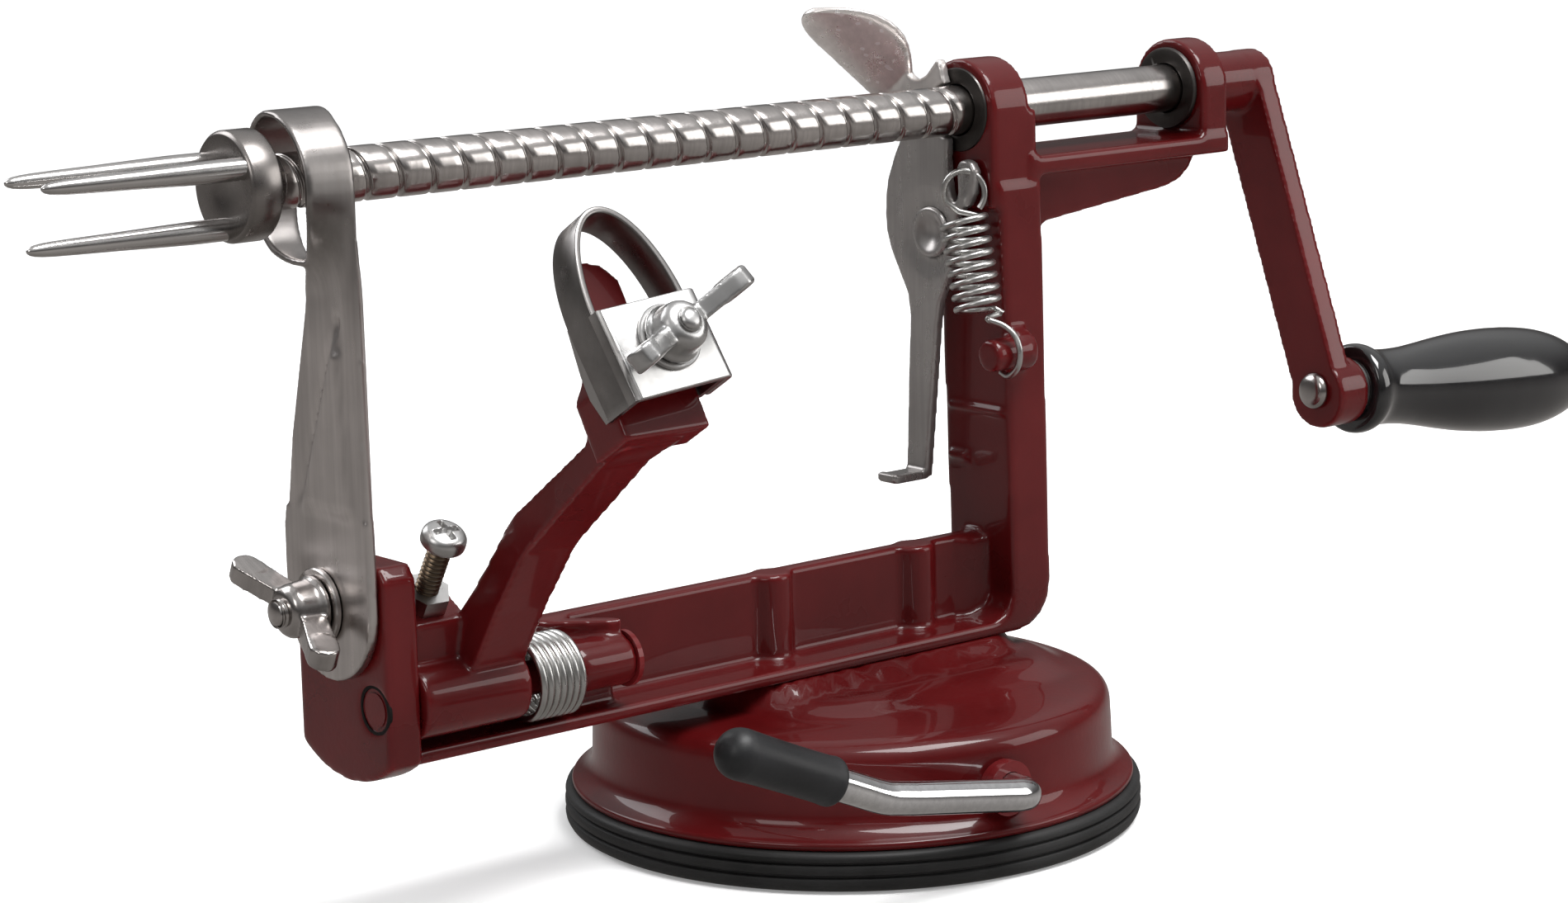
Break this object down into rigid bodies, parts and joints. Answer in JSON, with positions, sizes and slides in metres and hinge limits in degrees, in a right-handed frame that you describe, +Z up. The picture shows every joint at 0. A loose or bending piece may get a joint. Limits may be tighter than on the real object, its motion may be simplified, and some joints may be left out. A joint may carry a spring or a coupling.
{
  "type": "apple peeler corer",
  "caption": "Hand-cranked apple peeler, corer and slicer: fork on a screw shaft, sprung peeling blade arm, coring ring and lever suction base",
  "frame": {"origin": "centre of the flat underside of the round rubber suction pad, on the surface the peeler stands on", "axes": "+Z up, +X along the shaft from the fork towards the crank, +Y away from the side that the peeling arm and the clamp lever are on"},
  "size_m": [0.3485, 0.1264, 0.1508],
  "materials": {
    "enamel": "deep wine-red glossy enamel on cast metal",
    "nickel": "satin nickel-plated steel",
    "bright": "bright zinc or chrome plated steel",
    "spring": "bright spring wire",
    "bush": "dark oiled steel bush",
    "rubber": "matte black rubber",
    "grip": "glossy black plastic"
  },
  "bodies": {
    "frame": {"frame_casting": "enamel", "base_dome": "enamel", "base_screws": "nickel", "suction_pad": "rubber", "front_bush": "bush", "rear_bush": "bush", "peeler_pin": "enamel", "pin_clip": "bright", "torsion_spring": "spring", "slicer_blade": "nickel", "slicer_bolt": "nickel", "slicer_washer": "bright", "lever_bush": "nickel", "cam_bracket": "nickel", "release_rivet": "nickel", "tension_spring": "spring"},
    "slicer_nut": {"slicer_wing_nut": "nickel"},
    "peeler": {"peeler_arm": "enamel", "blade_saddle": "bright", "peeler_blade": "nickel", "blade_bolt": "bright", "blade_washer": "bright", "stop_screw": "bright", "stop_nut": "bright"},
    "blade_nut": {"blade_wing_nut": "bright"},
    "release": {"release_lever": "nickel"},
    "shaft_carrier": {"shaft_core": "nickel"},
    "crank": {"feed_screw": "nickel", "feed_thread": "nickel", "fork_hub": "nickel", "fork_tines": "nickel", "crank_arm": "enamel", "crank_collar": "enamel", "crank_end_screw": "nickel", "handle_bolt": "nickel", "handle_washer": "nickel"},
    "grip": {"handle_grip": "grip", "handle_ferrule": "nickel"},
    "clamp_lever": {"lever_rod": "bright", "lever_grip": "rubber", "suction_cams": "nickel"},
    "pad_lifter": {"pad_stem": "nickel", "pad_plate": "nickel", "stem_crosshead": "nickel"}
  },
  "joints": [
    {"name": "shaft_slide", "type": "slide", "parent": "frame", "child": "shaft_carrier", "axis": [1, 0, 0], "range_m": [0, 0.0976]},
    {"name": "crank_turn", "type": "hinge", "parent": "shaft_carrier", "child": "crank", "pos_m": [0, 0, 0.13], "axis": [1, 0, 0], "range_deg": [0, 5400]},
    {"name": "grip_spin", "type": "hinge", "parent": "crank", "child": "grip", "pos_m": [0.112, -0.022, 0.069], "axis": [0.9967, -0.0261, -0.0767], "continuous": true},
    {"name": "peeler_swing", "type": "hinge", "parent": "frame", "child": "peeler", "pos_m": [-0.09, -0.009, 0.0414], "axis": [1, 0, 0], "range_deg": [0, 42], "stiffness_Nm_per_rad": 0.25, "springref_deg": -40.11, "deforming": ["torsion_spring"]},
    {"name": "release_tilt", "type": "hinge", "parent": "frame", "child": "release", "pos_m": [0.0275, 0.0055, 0.1067], "axis": [1, 0, 0], "range_deg": [-12, 0], "stiffness_Nm_per_rad": 0.3, "springref_deg": 20.05, "deforming": ["tension_spring"]},
    {"name": "clamp_swing", "type": "hinge", "parent": "frame", "child": "clamp_lever", "pos_m": [-0.006, -0.056, 0.0155], "axis": [0, 1, 0], "range_deg": [0, 150]},
    {"name": "pad_lift", "type": "slide", "parent": "frame", "child": "pad_lifter", "axis": [0, 0, 1], "range_m": [0, 0.0026], "deforming": ["suction_pad"]},
    {"name": "blade_nut_turn", "type": "hinge", "parent": "peeler", "child": "blade_nut", "pos_m": [-0.0875, -0.06146, 0.10772], "axis": [0, -0.8572, 0.515], "continuous": true},
    {"name": "slicer_nut_turn", "type": "hinge", "parent": "frame", "child": "slicer_nut", "pos_m": [-0.118, 0.002, 0.058], "axis": [-1, 0, 0], "continuous": true}
  ],
  "couplings": [
    {"joint": "shaft_slide", "follows": "crank_turn", "m_per_rad": 0.0010345},
    {"joint": "pad_lift", "follows": "clamp_swing", "m_per_rad": 0.00099213}
  ]
}
